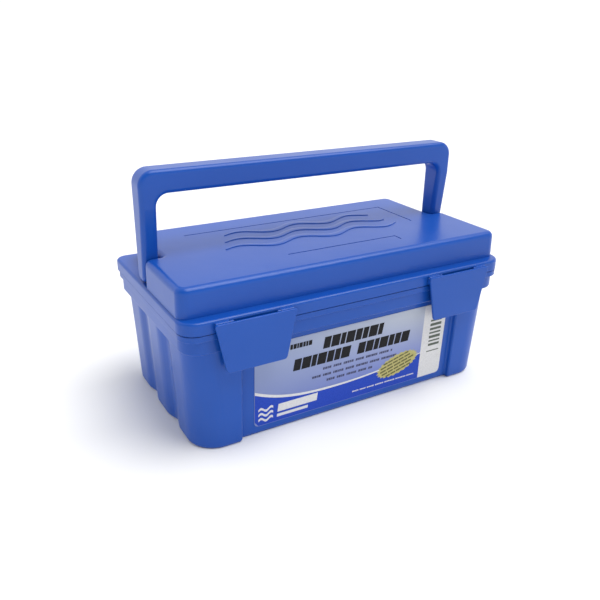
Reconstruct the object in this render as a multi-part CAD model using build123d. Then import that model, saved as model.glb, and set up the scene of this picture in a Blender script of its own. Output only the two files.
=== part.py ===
from build123d import *
import os

# Water test kit in a carrying case, millimetres, +Z up.
# X runs along the case, -Y is the front with the latches and the label, Z = 0 is the floor.

# ---- driving dimensions ----
CASE_HALF_X = 150.0          # lid flange, half length
FLANGE_HALF_Y = 81.4         # lid flange, half depth
FLANGE_CORNER, FLANGE_BACK_CORNER = 14.0, 9.5
FLANGE_EDGE = 2.4            # rounding of the flange's top edge
FLANGE_TOP = 110.7
SKIRT_BOTTOM = 101.0
LID_TOP = 133.2
WALL = 2.5

# tub wall, at the floor and at the rim
TUB_FLOOR_X, TUB_FLOOR_Y = 142.0, 76.5
TUB_RIM_X, TUB_RIM_Y = 146.2, 79.4
TUB_CORNER = 23.0
PILLAR_EDGE_X = 104.3        # where the corner pillars step back to the recessed panels
PILLAR_STEP_R = 1.6
PANEL_DEPTH = 4.3
END_FLAT_Y, END_FLAT_R = 12.0, 26.0        # middle swell of each end wall
SCALLOP_Y, SCALLOP_R = 25.0, 13.0          # the two valleys in each end wall
SCALLOP_DEPTH = 4.0
PILLAR_Y, PILLAR_R = 37.0, 24.0            # where a valley runs out into the corner pillar
PILLAR_INSET = 0.8
FLOOR_EDGE = 2.4             # rounding of the tub's bottom edge, as a two-step bevel
BAND_LOW, BAND_MID, BAND_TOP = 84.0, 95.5, 100.2
BAND_LOWER = (148.2, 79.6, 15.5)           # half length, half depth, corner
BAND_UPPER = (149.6, 80.9, 13.0)
BAND_LOWER_EDGE, BAND_UPPER_EDGE = 2.0, 0.8
LIP_OUTER = (147.0, 78.4, 12.0)
LIP_INNER = (145.3, 76.7, 10.5)
LIP_TOP = 103.6

# raised block of the lid
BLOCK_FRONT_X, BLOCK_BACK_X = 148.5, 134.6
BLOCK_FRONT_Y, BLOCK_STEP_Y, BLOCK_BACK_Y = -71.8, 1.9, 70.6
BLOCK_CORNER, STEP_CORNER, STEP_VALLEY = 8.0, 5.6, 1.0
BLOCK_DRAFT = 0.5
BLOCK_EDGE = 5.0

# broken frame line sunk into the lid's top
GROOVE_DEPTH, GROOVE_WIDTH = 0.6, 1.2
FRAME_BACK = (-100.0, 101.0, 41.5)         # x from, x to, y
FRAME_RIGHT = (101.6, -10.0, 42.1)         # x, y from, y to
FRAME_FRONT = (-45.0, 60.0, -40.0)
FRAME_HOOK = (59.4, -49.0, -40.0)

# handle
LEG_OUTER_X, LEG_INNER_X = 148.6, 135.6
GRIP_TOP, GRIP_BOTTOM = 200.4, 182.0
GRIP_FRONT_Y, GRIP_BACK_Y = -2.8, 18.0
PIVOT_Y, PIVOT_Z = 10.3, 119.0
LEG_END_R = GRIP_BACK_Y - PIVOT_Y
HANDLE_OUTER_R, HANDLE_INNER_R, HANDLE_EDGE = 12.0, 10.0, 3.8
HANDLE_PIN_R, BOSS_R, BOSS_OUT = 3.0, 6.5, 0.6
PIN_END_X, PIN_BORE_X = 143.5, 144.0       # ends of the pin and of its blind bore in the leg
PIN_HEAD_R, PIN_HEAD = 5.0, 2.2
PRESS_FIT, RUNNING_FIT = 0.01, 0.05

# latches
LATCH_X = 95.3
LATCH_TOP, LATCH_BOTTOM = 108.9, 69.3
LATCH_TOP_HALF, LATCH_BOTTOM_HALF = 32.7, 24.3
LATCH_FRONT_Y, LATCH_THICK = -86.5, 1.7
LATCH_PIVOT_Y, LATCH_PIVOT_Z = -83.1, 107.9
LATCH_PIN_R, LUG_R = 0.8, 1.38
LUG_INNER, LUG_OUTER = 20.3, 31.0
LUG_FOOT_Z = 103.0
EAR_INNER, EAR_GAP = 17.6, 0.4
EAR_FOOT_Z, EAR_TAPER_Z, EAR_TAPER = 103.5, 105.0, 0.9
LATCH_TOP_R, LATCH_BOTTOM_R, LATCH_EDGE = 1.6, 3.0, 0.7
CATCH_Y, CATCH_TOP, CATCH_HALF = -81.3, 95.0, 16.0   # ridge 0.4 mm clear of the tub's rim
CATCH_LIP, CATCH_DROP = 1.0, 4.5
EMBED = 0.4                  # how far a rib is sunk into the wall that carries it

# rear hinge
HINGE_Y, HINGE_Z, KNUCKLE_R, HINGE_PIN_R = 84.3, 100.6, 2.2, 1.2
HINGE_X = 78.0
LID_KNUCKLE_HALF, TUB_KNUCKLE_LEN, KNUCKLE_GAP = 14.0, 12.0, 0.4
TUB_KNUCKLE_WALL_Y, TUB_KNUCKLE_WEB_Z = 79.5, 97.0

# front label
LABEL_LEFT, LABEL_RIGHT, LABEL_BOTTOM, LABEL_TOP = -92.5, 95.7, 7.0, 78.5
LABEL_THICK, LABEL_CORNER = 0.3, 4.0

# contents
TRAY_X, TRAY_Y, TRAY_FLOOR, TRAY_DECK = 132.0, 66.0, 1.5, 40.0
TRAY_BACK_FRONT_Y = -9.0
LARGE_R, LARGE_BODY, LARGE_CAP_R, LARGE_CAP = 18.5, 74.0, 10.5, 22.0
LARGE_X0, LARGE_PITCH, LARGE_Y, LARGE_COUNT = -110.0, 41.0, 44.0, 6
SMALL_R, SMALL_BODY, SMALL_CAP_R, SMALL_CAP = 13.0, 56.0, 8.0, 20.0
SMALL_X0, SMALL_PITCH, SMALL_Y, SMALL_COUNT = -116.0, 30.0, 8.5, 6
STAND_Z = WALL + TRAY_FLOOR  # level that the bottles stand on
JAR = (78.0, 9.5, 16.5, 50.0)          # x, y, radius, body height
MIXING = (117.0, 8.5, 12.0, 62.0)
SAMPLE = (6.0, -42.0, 13.5, 88.0)
TURBIDITY = (40.0, -42.0, 11.0, 104.0)
COMPARATOR = (-124.0, -24.0, -56.0, -32.0, 62.0)  # x from, x to, y from, y to, height
CELL_HALF = 7.0
CELL_INSET = 34.0            # from the comparator's end to the middle of a test cell
STRIP_INSET, STRIP_HALF, STRIP_COUNT = 12.0, 8.0, 5
ROD = (68.0, -42.0, 2.5, 96.0)
DIPPER = (86.0, -42.0, 4.0, 84.0)
BRUSH = (106.0, -42.0, 8.0, 92.0)
HOLDER_TOP, HOLDER_THICK, HOLDER_FRONT_Y, HOLDER_MARGIN = 32.0, 2.0, -58.0, 20.0
WELL_GAP = 0.5               # clearance round a bottle in its well
BOOKLET = (-104.0, 36.0, -65.5, -62.5, 90.0)      # x from, x to, y from, y to, height
CARD = (46.0, 118.0, -65.5, -65.0, 82.0)
CHART_X, CHART_R = 84.0, 40.0
CHART_BACK_Y, CHART_FRONT_Y, CHART_THICK, CHART_STEP = -63.8, -64.5, 0.6, 5.0
RIVET_R, RIVET_HEAD_R, RIVET_HEAD = 1.9, 3.4, 0.3


def rounded(half_x, half_y, corner, low, high):
    """Upright block with a rounded-rectangle outline."""
    face = RectangleRounded(2 * half_x, 2 * half_y, corner)
    return Pos(0, 0, low) * extrude(face, high - low)


def tube(x, y, radius, low, high):
    """Upright cylinder."""
    return Pos(x, y, (low + high) / 2) * Cylinder(radius, high - low)


def along_x(x_from, x_to, y, z, radius):
    """Cylinder that lies along X."""
    return Pos((x_from + x_to) / 2, y, z) * Rot(0, 90, 0) * Cylinder(radius, abs(x_to - x_from))


def block(x_from, x_to, y_from, y_to, z_from, z_to):
    """Plain block between two corners."""
    size = (abs(x_to - x_from), abs(y_to - y_from), abs(z_to - z_from))
    centre = ((x_from + x_to) / 2, (y_from + y_to) / 2, (z_from + z_to) / 2)
    return Pos(*centre) * Box(*size)


# ---- tub ----
def tub_section(half_x, half_y, inset, z):
    """Tub outline: corner pillars, recessed long panels and scalloped ends."""
    x, y = half_x - inset, half_y - inset
    edge, panel = PILLAR_EDGE_X + inset, y - PANEL_DEPTH
    pillar = x - PILLAR_INSET
    quarter = [
        ((x, END_FLAT_Y), END_FLAT_R),
        ((x - SCALLOP_DEPTH, SCALLOP_Y), SCALLOP_R),
        ((pillar, PILLAR_Y), PILLAR_R),
        ((pillar, y), TUB_CORNER - inset),
        ((edge, y), PILLAR_STEP_R),
        ((edge - 0.5, panel), PILLAR_STEP_R),
    ]
    points, radii = [], []
    for sx, sy, forward in ((1, 1, True), (-1, 1, False), (-1, -1, True), (1, -1, False)):
        part = quarter if forward else quarter[::-1]
        points += [(sx * px, sy * py) for (px, py), _ in part]
        radii += [r for _, r in part]
    outline = FilletPolyline(*points, radius=radii, close=True)
    return Pos(0, 0, z) * make_face(outline)


def drafted_section(z, inset):
    """Tub outline at one level of the drafted wall."""
    t = z / BAND_MID
    half_x = TUB_FLOOR_X + (TUB_RIM_X - TUB_FLOOR_X) * t
    half_y = TUB_FLOOR_Y + (TUB_RIM_Y - TUB_FLOOR_Y) * t
    return tub_section(half_x, half_y, inset, z)


def tub_wall(inset, low, high):
    """Drafted solid between two levels, ruled between its two sections."""
    return loft([drafted_section(low, inset), drafted_section(high, inset)], ruled=True)


def tub_foot():
    """Lowest stretch of the tub, bevelled in two steps at the floor."""
    levels = ((0.0, FLOOR_EDGE), (0.25 * FLOOR_EDGE, 0.3 * FLOOR_EDGE), (FLOOR_EDGE, 0.0))
    return loft([drafted_section(z, inset) for z, inset in levels], ruled=True)


def knuckle(x_from, x_to, wall_y, web_low, web_high):
    """Hinge knuckle with the web that ties it to a rim."""
    barrel = along_x(x_from, x_to, HINGE_Y, HINGE_Z, KNUCKLE_R)
    web = block(x_from, x_to, wall_y, HINGE_Y, web_low, web_high)
    bore = along_x(x_from - 1, x_to + 1, HINGE_Y, HINGE_Z, HINGE_PIN_R + RUNNING_FIT)
    return (barrel + web) - bore


def tub():
    shell = tub_foot() + tub_wall(0.0, FLOOR_EDGE, BAND_MID)
    lower = rounded(*BAND_LOWER, BAND_LOW, BAND_MID)
    lower = fillet(lower.faces().sort_by(Axis.Z)[0].edges(), BAND_LOWER_EDGE)
    upper = rounded(*BAND_UPPER, BAND_MID - 0.01, BAND_TOP)
    upper = fillet(upper.faces().sort_by(Axis.Z)[0].edges(), BAND_UPPER_EDGE)
    shell = shell + lower + upper
    shell = shell + rounded(*LIP_OUTER, BAND_TOP - 1, LIP_TOP)
    shell = shell - tub_wall(WALL, WALL, BAND_LOW + WALL)
    shell = shell - rounded(*LIP_INNER, BAND_LOW + WALL - 0.01, LIP_TOP + 1)
    start = LID_KNUCKLE_HALF + KNUCKLE_GAP
    for side in (-1, 1):
        for x in (side * HINGE_X - start - TUB_KNUCKLE_LEN, side * HINGE_X + start):
            shell = shell + knuckle(x, x + TUB_KNUCKLE_LEN, TUB_KNUCKLE_WALL_Y, TUB_KNUCKLE_WEB_Z, HINGE_Z)
    return shell


# ---- lid ----
def lid_block(inset, low, high, bottom_grow, top_grow):
    """Raised block: wide at the front, narrower behind to make room for the handle's legs."""
    def section(z, grow):
        g = grow - inset
        quarter = [
            ((BLOCK_BACK_X + g, BLOCK_BACK_Y + g), BLOCK_CORNER),
            ((BLOCK_BACK_X + g, BLOCK_STEP_Y + g), STEP_VALLEY),
            ((BLOCK_FRONT_X + g, BLOCK_STEP_Y + g), STEP_CORNER),
            ((BLOCK_FRONT_X + g, BLOCK_FRONT_Y - g), BLOCK_CORNER),
        ]
        points = [p for p, _ in quarter] + [(-px, py) for (px, py), _ in quarter[::-1]]
        radii = [r for _, r in quarter] + [r for _, r in quarter[::-1]]
        return Pos(0, 0, z) * make_face(FilletPolyline(*points, radius=radii, close=True))
    return loft([section(low, bottom_grow), section(high, top_grow)], ruled=True)


def flange_block(inset, low, high):
    """Flange of the lid, with tighter corners at the back."""
    x, y = CASE_HALF_X - inset, FLANGE_HALF_Y - inset
    front, back = FLANGE_CORNER - inset, FLANGE_BACK_CORNER - inset
    corners = ((x, y), (-x, y), (-x, -y), (x, -y))
    outline = FilletPolyline(*corners, radius=(back, back, front, front), close=True)
    return Pos(0, 0, low) * extrude(make_face(outline), high - low)


def lid_outside():
    flange = flange_block(0.0, SKIRT_BOTTOM, FLANGE_TOP)
    flange = fillet(flange.faces().sort_by(Axis.Z)[-1].edges(), FLANGE_EDGE)
    raised = lid_block(0.0, FLANGE_TOP - 1, LID_TOP, 0.0, -BLOCK_DRAFT)
    raised = fillet(raised.faces().sort_by(Axis.Z)[-1].edges(), BLOCK_EDGE)
    return flange + raised


def lid_inside():
    skirt = flange_block(WALL, SKIRT_BOTTOM - 1, FLANGE_TOP - WALL)
    raised = lid_block(WALL, SKIRT_BOTTOM, LID_TOP - WALL, 0.0, -BLOCK_DRAFT)
    return skirt + raised


def latch_lug(x_from, x_to):
    """Lug under the flange's front edge that carries one latch stub pin."""
    top = LATCH_PIVOT_Z + LUG_R
    back = -FLANGE_HALF_Y + EMBED
    lug = block(x_from, x_to, LATCH_PIVOT_Y, back, LUG_FOOT_Z, top)
    lug = lug + block(x_from, x_to, LATCH_PIVOT_Y - LUG_R, back, LUG_FOOT_Z, LATCH_PIVOT_Z)
    lug = lug + along_x(x_from, x_to, LATCH_PIVOT_Y, LATCH_PIVOT_Z, LUG_R)
    bore = along_x(x_from - 1, x_to + 1, LATCH_PIVOT_Y, LATCH_PIVOT_Z, LATCH_PIN_R + PRESS_FIT)
    return lug - bore


def frame_grooves():
    """Shallow broken frame line sunk into the lid's top."""
    half = GROOVE_WIDTH / 2
    low, high = LID_TOP - GROOVE_DEPTH, LID_TOP + 1
    grooves = [block(x0, x1, y - half, y + half, low, high) for x0, x1, y in (FRAME_BACK, FRAME_FRONT)]
    grooves += [block(x - half, x + half, y0, y1, low, high) for x, y0, y1 in (FRAME_RIGHT, FRAME_HOOK)]
    return grooves


def lid():
    shell = lid_outside() - lid_inside()
    for side in (-1, 1):
        boss = along_x(side * (BLOCK_BACK_X - 1), side * (BLOCK_BACK_X + BOSS_OUT), PIVOT_Y, PIVOT_Z, BOSS_R)
        bore = along_x(side * (BLOCK_BACK_X - 3 * WALL), side * LEG_OUTER_X, PIVOT_Y, PIVOT_Z,
                       HANDLE_PIN_R + PRESS_FIT)
        shell = (shell + boss) - bore
        for inner, outer in ((LUG_INNER, LUG_OUTER), (-LUG_OUTER, -LUG_INNER)):
            shell = shell + latch_lug(side * LATCH_X + inner, side * LATCH_X + outer)
        x = side * HINGE_X
        arm = knuckle(x - LID_KNUCKLE_HALF, x + LID_KNUCKLE_HALF, FLANGE_HALF_Y - EMBED,
                      SKIRT_BOTTOM, HINGE_Z + KNUCKLE_R)
        shell = shell + arm
    for groove in frame_grooves():
        shell = shell - groove
    return shell


# ---- handle ----
def handle():
    height = GRIP_TOP - (PIVOT_Z - LEG_END_R)
    outer = RectangleRounded(2 * LEG_OUTER_X, 2 * height, HANDLE_OUTER_R)
    inner = RectangleRounded(2 * LEG_INNER_X, 2 * (height - GRIP_TOP + GRIP_BOTTOM), HANDLE_INNER_R)
    bail = extrude(Plane.XZ * (outer - inner), 60, both=True)
    bail = Pos(0, 0, PIVOT_Z - LEG_END_R) * bail
    # side view: full depth at the grip, tapering to a round end about the pivot
    front = PIVOT_Y - LEG_END_R
    side = make_face(Polyline(
        (GRIP_FRONT_Y, GRIP_TOP), (GRIP_BACK_Y, GRIP_TOP), (GRIP_BACK_Y, PIVOT_Z), (front, PIVOT_Z),
        (GRIP_FRONT_Y, GRIP_BOTTOM - HANDLE_INNER_R), close=True))
    side = side + Pos(PIVOT_Y, PIVOT_Z) * Circle(LEG_END_R)
    body = bail & extrude(Plane.YZ * side, 200, both=True)
    body = fillet(body.edges().filter_by(lambda e: e.length > 1.0), HANDLE_EDGE)
    for side_x in (-1, 1):
        body = body - along_x(side_x * (LEG_INNER_X - 1), side_x * PIN_BORE_X, PIVOT_Y, PIVOT_Z,
                              HANDLE_PIN_R + RUNNING_FIT)
    return body


def handle_pin(side):
    """Headed pivot pin, pushed out through the lid's wall into a blind bore in the leg."""
    wall_inside = BLOCK_BACK_X - WALL - BLOCK_DRAFT
    shank = along_x(side * (wall_inside - 1), side * PIN_END_X, PIVOT_Y, PIVOT_Z, HANDLE_PIN_R)
    head = along_x(side * (wall_inside - PIN_HEAD), side * (wall_inside - RUNNING_FIT), PIVOT_Y, PIVOT_Z,
                   PIN_HEAD_R)
    return head + shank


# ---- latches ----
def latch(side):
    """Trapezoid flap with two ears for the stub pins and a catch ridge for the tub's rim."""
    x = side * LATCH_X
    back = LATCH_FRONT_Y + LATCH_THICK
    outline = FilletPolyline(
        (LATCH_TOP_HALF, LATCH_TOP), (-LATCH_TOP_HALF, LATCH_TOP),
        (-LATCH_BOTTOM_HALF, LATCH_BOTTOM), (LATCH_BOTTOM_HALF, LATCH_BOTTOM),
        radius=(LATCH_TOP_R, LATCH_TOP_R, LATCH_BOTTOM_R, LATCH_BOTTOM_R), close=True)
    plate = extrude(Plane.XZ * make_face(outline), LATCH_THICK)
    plate = Pos(0, back, 0) * plate
    front_edges = plate.faces().sort_by(Axis.Y)[0].edges()
    plate = fillet(front_edges, LATCH_EDGE)
    for inner, outer in ((EAR_INNER, LUG_INNER - EAR_GAP), (-LUG_INNER + EAR_GAP, -EAR_INNER)):
        ear = along_x(inner, outer, LATCH_PIVOT_Y, LATCH_PIVOT_Z, LUG_R)
        web = block(inner, outer, back - EMBED, LATCH_PIVOT_Y, EAR_FOOT_Z, LATCH_PIVOT_Z)
        taper = block(inner, outer, LATCH_PIVOT_Y, LATCH_PIVOT_Y + EAR_TAPER, EAR_TAPER_Z, LATCH_PIVOT_Z)
        bore = along_x(inner - 1, outer + 1, LATCH_PIVOT_Y, LATCH_PIVOT_Z, LATCH_PIN_R + RUNNING_FIT)
        plate = plate + ((ear + web + taper) - bore)
    root = back - EMBED
    catch = extrude(Plane.YZ * make_face(Polyline(
        (root, CATCH_TOP), (CATCH_Y, CATCH_TOP), (CATCH_Y, CATCH_TOP - CATCH_LIP),
        (root, CATCH_TOP - CATCH_DROP), close=True)), CATCH_HALF, both=True)
    return Pos(x, 0, 0) * (plate + catch)


def latch_pins(side):
    """Two stub pins, each pressed in a lid lug and running in a latch ear."""
    x = side * LATCH_X
    spans = ((EAR_INNER + 0.1, LUG_OUTER), (-LUG_OUTER, -EAR_INNER - 0.1))
    pins = [along_x(x + a, x + b, LATCH_PIVOT_Y, LATCH_PIVOT_Z, LATCH_PIN_R) for a, b in spans]
    return Compound(children=pins)


def hinge_pin(side):
    half = LID_KNUCKLE_HALF + KNUCKLE_GAP + TUB_KNUCKLE_LEN
    return along_x(side * HINGE_X - half, side * HINGE_X + half, HINGE_Y, HINGE_Z, HINGE_PIN_R)


# ---- label ----
def panel_y(z):
    """Front face of the recessed front panel at one level."""
    return -(TUB_FLOOR_Y + (TUB_RIM_Y - TUB_FLOOR_Y) * z / BAND_MID) + PANEL_DEPTH


def front_label():
    width, height = LABEL_RIGHT - LABEL_LEFT, LABEL_TOP - LABEL_BOTTOM
    mid_z = (LABEL_TOP + LABEL_BOTTOM) / 2
    up = Vector(0, panel_y(LABEL_TOP) - panel_y(LABEL_BOTTOM), height).normalized()
    along = Vector(1, 0, 0)
    centre = Vector((LABEL_LEFT + LABEL_RIGHT) / 2, panel_y(mid_z), mid_z)
    plane = Plane(origin=centre, x_dir=along, z_dir=along.cross(up))
    return extrude(plane * RectangleRounded(width, height, LABEL_CORNER), LABEL_THICK)


# ---- contents ----
def dropper_bottle(x, y, radius, body, neck_r):
    """Full bottle: round body, sloped shoulder, threaded neck and dropper tip."""
    z = STAND_Z
    shoulder = radius - neck_r
    shell = tube(x, y, radius, z, z + body)
    shell = fillet(shell.edges().sort_by(Axis.Z)[0], 2.0)
    cone = Pos(x, y, z + body + shoulder * 0.4) * Cone(radius, neck_r + 1.5, shoulder * 0.8)
    top = z + body + shoulder * 0.8
    neck = tube(x, y, neck_r, top - 0.5, top + 12)
    tip = Pos(x, y, top + 14.5) * Cone(neck_r * 0.55, 1.6, 5.0)
    return shell + cone + neck + tip, top


def screw_cap(x, y, top, inner_r, outer_r, height):
    """Screw cap with a ribbed skirt over a bottle's neck."""
    cap = tube(x, y, outer_r, top, top + height)
    cap = fillet(cap.edges().sort_by(Axis.Z)[-1], 1.5)
    ribs = 24
    for k in range(ribs):
        groove = Pos(x, y, 0) * Rot(0, 0, 360 * k / ribs) * Pos(outer_r + 0.25, 0, top + height * 0.4)
        cap = cap - groove * Cylinder(0.6, height * 0.8 - 1)
    return cap - tube(x, y, inner_r, top - 1, top + height - 2.0)


def reagent_bottle(index):
    x = LARGE_X0 + LARGE_PITCH * index
    return dropper_bottle(x, LARGE_Y, LARGE_R, LARGE_BODY, LARGE_CAP_R - 1.7)


def drop_bottle(index):
    x = SMALL_X0 + SMALL_PITCH * index
    return dropper_bottle(x, SMALL_Y, SMALL_R, SMALL_BODY, SMALL_CAP_R - 1.6)


def insert_tray():
    """Rack: a floor, a raised deck with bottle wells at the back and a tube holder in front."""
    tray = rounded(TRAY_X, TRAY_Y, 18.0, WALL, STAND_Z)
    deck = block(-TRAY_X + 2, TRAY_X - 2, TRAY_BACK_FRONT_Y, TRAY_Y - 1, TRAY_DECK, TRAY_DECK + 2)
    front = block(-TRAY_X + 2, TRAY_X - 2, TRAY_BACK_FRONT_Y - 2, TRAY_BACK_FRONT_Y, WALL + 1, TRAY_DECK + 2)
    tray = tray + deck + front
    for side in (-1, 1):
        x0, x1 = side * (TRAY_X - 2), side * (TRAY_X - 0.2)
        tray = tray + block(x0, x1, -40, 46, WALL + 1, TRAY_DECK + 2)
    holder_x0, holder_x1 = SAMPLE[0] - HOLDER_MARGIN, TRAY_X - 2
    holder_back_y, holder_low = TRAY_BACK_FRONT_Y - 1, HOLDER_TOP - HOLDER_THICK
    tray = tray + block(holder_x0, holder_x1, HOLDER_FRONT_Y, holder_back_y, holder_low, HOLDER_TOP)
    tray = tray + block(holder_x0, holder_x0 + HOLDER_THICK, HOLDER_FRONT_Y, holder_back_y, WALL + 1,
                        HOLDER_TOP)
    deck_wells = [(LARGE_X0 + LARGE_PITCH * i, LARGE_Y, LARGE_R) for i in range(LARGE_COUNT)]
    deck_wells += [(SMALL_X0 + SMALL_PITCH * i, SMALL_Y, SMALL_R) for i in range(SMALL_COUNT)]
    deck_wells += [JAR[:3], MIXING[:3]]
    for x, y, radius in deck_wells:
        tray = tray - tube(x, y, radius + WELL_GAP, TRAY_DECK - 1, TRAY_DECK + 3)
    for x, y, radius, _ in (SAMPLE, TURBIDITY, ROD, DIPPER, BRUSH):
        tray = tray - tube(x, y, radius + WELL_GAP, holder_low - 1, HOLDER_TOP + 1)
    return tray


def powder_jar():
    x, y, radius, body = JAR
    jar = tube(x, y, radius, STAND_Z, STAND_Z + body)
    jar = fillet(jar.edges(), 2.0)
    return jar + tube(x, y, radius - 3.5, STAND_Z + body - 1, STAND_Z + body + 11)


def mixing_bottle():
    x, y, radius, body = MIXING
    bottle = tube(x, y, radius, STAND_Z, STAND_Z + body)
    bottle = fillet(bottle.edges(), 1.5)
    bottle = bottle + tube(x, y, radius - 3.0, STAND_Z + body - 1, STAND_Z + body + 9)
    return bottle - tube(x, y, radius - 4.5, STAND_Z + 1.5, STAND_Z + body + 10)


def open_tube(x, y, radius, height, wall):
    """Round tube with a closed foot."""
    outer = tube(x, y, radius, STAND_Z, STAND_Z + height)
    return outer - tube(x, y, radius - wall, STAND_Z + 3, STAND_Z + height + 1)


def sample_tube_cap():
    x, y, radius, height = SAMPLE
    top = STAND_Z + height
    cap = tube(x, y, radius + 1.0, top, top + 3) + tube(x, y, radius - 1.55, top - 6, top + 1)
    return cap - tube(x, y, radius - 3.0, top - 7, top - 1)


def comparator_body():
    """Clear slab with two test cells and two shallow seats for the colour strips."""
    x0, x1, y0, y1, height = COMPARATOR
    slab = block(x0, x1, y0, y1, STAND_Z, STAND_Z + height)
    slab = fillet(slab.edges().filter_by(Axis.Z), 2.5)
    mid_y = (y0 + y1) / 2
    for x in (x0 + CELL_INSET, x1 - CELL_INSET):
        slab = slab - block(x - CELL_HALF, x + CELL_HALF, mid_y - CELL_HALF, mid_y + CELL_HALF,
                            STAND_Z + 8, STAND_Z + height + 1)
    for x in (x0 + STRIP_INSET, x1 - STRIP_INSET):
        slab = slab - block(x - STRIP_HALF, x + STRIP_HALF, y0 - 1, y0 + 1.5, STAND_Z + 6,
                            STAND_Z + height - 6)
    return slab


def colour_strip(x):
    """Strip of stepped colour windows in the comparator's front."""
    y0, height = COMPARATOR[2], COMPARATOR[4]
    half = STRIP_HALF - 0.1
    strip = block(x - half, x + half, y0, y0 + 1.4, STAND_Z + 6.1, STAND_Z + height - 6.1)
    pitch = (height - 14) / STRIP_COUNT
    for k in range(STRIP_COUNT):
        z = STAND_Z + 7 + pitch * (k + 0.5)
        strip = strip - block(x - 5, x + 5, y0 - 1, y0 + 0.5, z - pitch * 0.38, z + pitch * 0.38)
    return strip


def comparator_cap():
    x0, x1, y0, y1, height = COMPARATOR
    top = STAND_Z + height
    cap = block(x0 + 22, x1 - 22, y0 + 1, y1 - 1, top, top + 3)
    cap = fillet(cap.edges().filter_by(Axis.Z), 3.0)
    mid_y = (y0 + y1) / 2
    reach = CELL_HALF - 0.1
    for x in (x0 + CELL_INSET, x1 - CELL_INSET):
        cap = cap + block(x - reach, x + reach, mid_y - reach, mid_y + reach, top - 4, top + 1)
    return cap


def stirring_rod():
    x, y, radius, length = ROD
    rod = tube(x, y, radius, STAND_Z, STAND_Z + length)
    return rod + Pos(x, y, STAND_Z + length + 1) * Sphere(radius * 1.3)


def powder_dipper():
    """Small measuring spoon that stands on its cup end."""
    x, y, radius, length = DIPPER
    stem = tube(x, y, 1.5, STAND_Z + 5, STAND_Z + length)
    cup = tube(x, y, radius, STAND_Z, STAND_Z + 2 * radius)
    paddle = block(x - radius, x + radius, y - 0.75, y + 0.75, STAND_Z + length - 14, STAND_Z + length + 2)
    return fillet(cup.edges(), 0.8) + stem + paddle


def tube_brush():
    """Twisted wire with a finger eye, and the bristles as one cylinder."""
    x, y, radius, length = BRUSH
    wire_r, eye_r = 1.2, 4.0
    wire = tube(x, y, wire_r, STAND_Z, STAND_Z + length)
    bristles = tube(x, y, radius, STAND_Z + 1, STAND_Z + length * 0.48)
    eye = Pos(x, y, STAND_Z + length + eye_r - 1) * Rot(90, 0, 0) * Torus(eye_r, wire_r)
    return wire + fillet(bristles.edges(), 2.0) + eye


def instruction_booklet():
    x0, x1, y0, y1, height = BOOKLET
    booklet = block(x0, x1, y0, y1, STAND_Z, STAND_Z + height)
    return fillet(booklet.edges().filter_by(Axis.Y), 1.0)


def instruction_card():
    x0, x1, y0, y1, height = CARD
    return block(x0, x1, y0, y1, STAND_Z, STAND_Z + height)


def chart_disc(y_from, thickness, radius):
    disc = Pos(CHART_X, y_from + thickness / 2, STAND_Z + CHART_R) * Rot(90, 0, 0)
    plate = disc * Cylinder(radius, thickness)
    return plate - disc * Cylinder(2.0, thickness + 2)


def chart_disc_front():
    """Top disc of the slide chart, with its two reading windows."""
    window_radius, window_length, window_height = 22.0, 16.0, 6.0
    plate = chart_disc(CHART_FRONT_Y, CHART_THICK, CHART_R - CHART_STEP)
    middle = CHART_FRONT_Y + CHART_THICK / 2
    for angle in (25, 155):
        spot = Pos(CHART_X, middle, STAND_Z + CHART_R) * Rot(0, -angle, 0) * Pos(window_radius, 0, 0)
        plate = plate - spot * Box(window_length, 3, window_height)
    return plate


def chart_rivet():
    front, back = CHART_FRONT_Y - 0.05, CHART_BACK_Y + CHART_THICK + RIVET_HEAD
    length = back - front
    upright = Rot(90, 0, 0)
    shank = Pos(CHART_X, front + length / 2, STAND_Z + CHART_R) * upright * Cylinder(RIVET_R, length)
    head_place = Pos(CHART_X, back - RIVET_HEAD / 2, STAND_Z + CHART_R)
    head = head_place * upright * Cylinder(RIVET_HEAD_R, RIVET_HEAD)
    return shank + head


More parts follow.
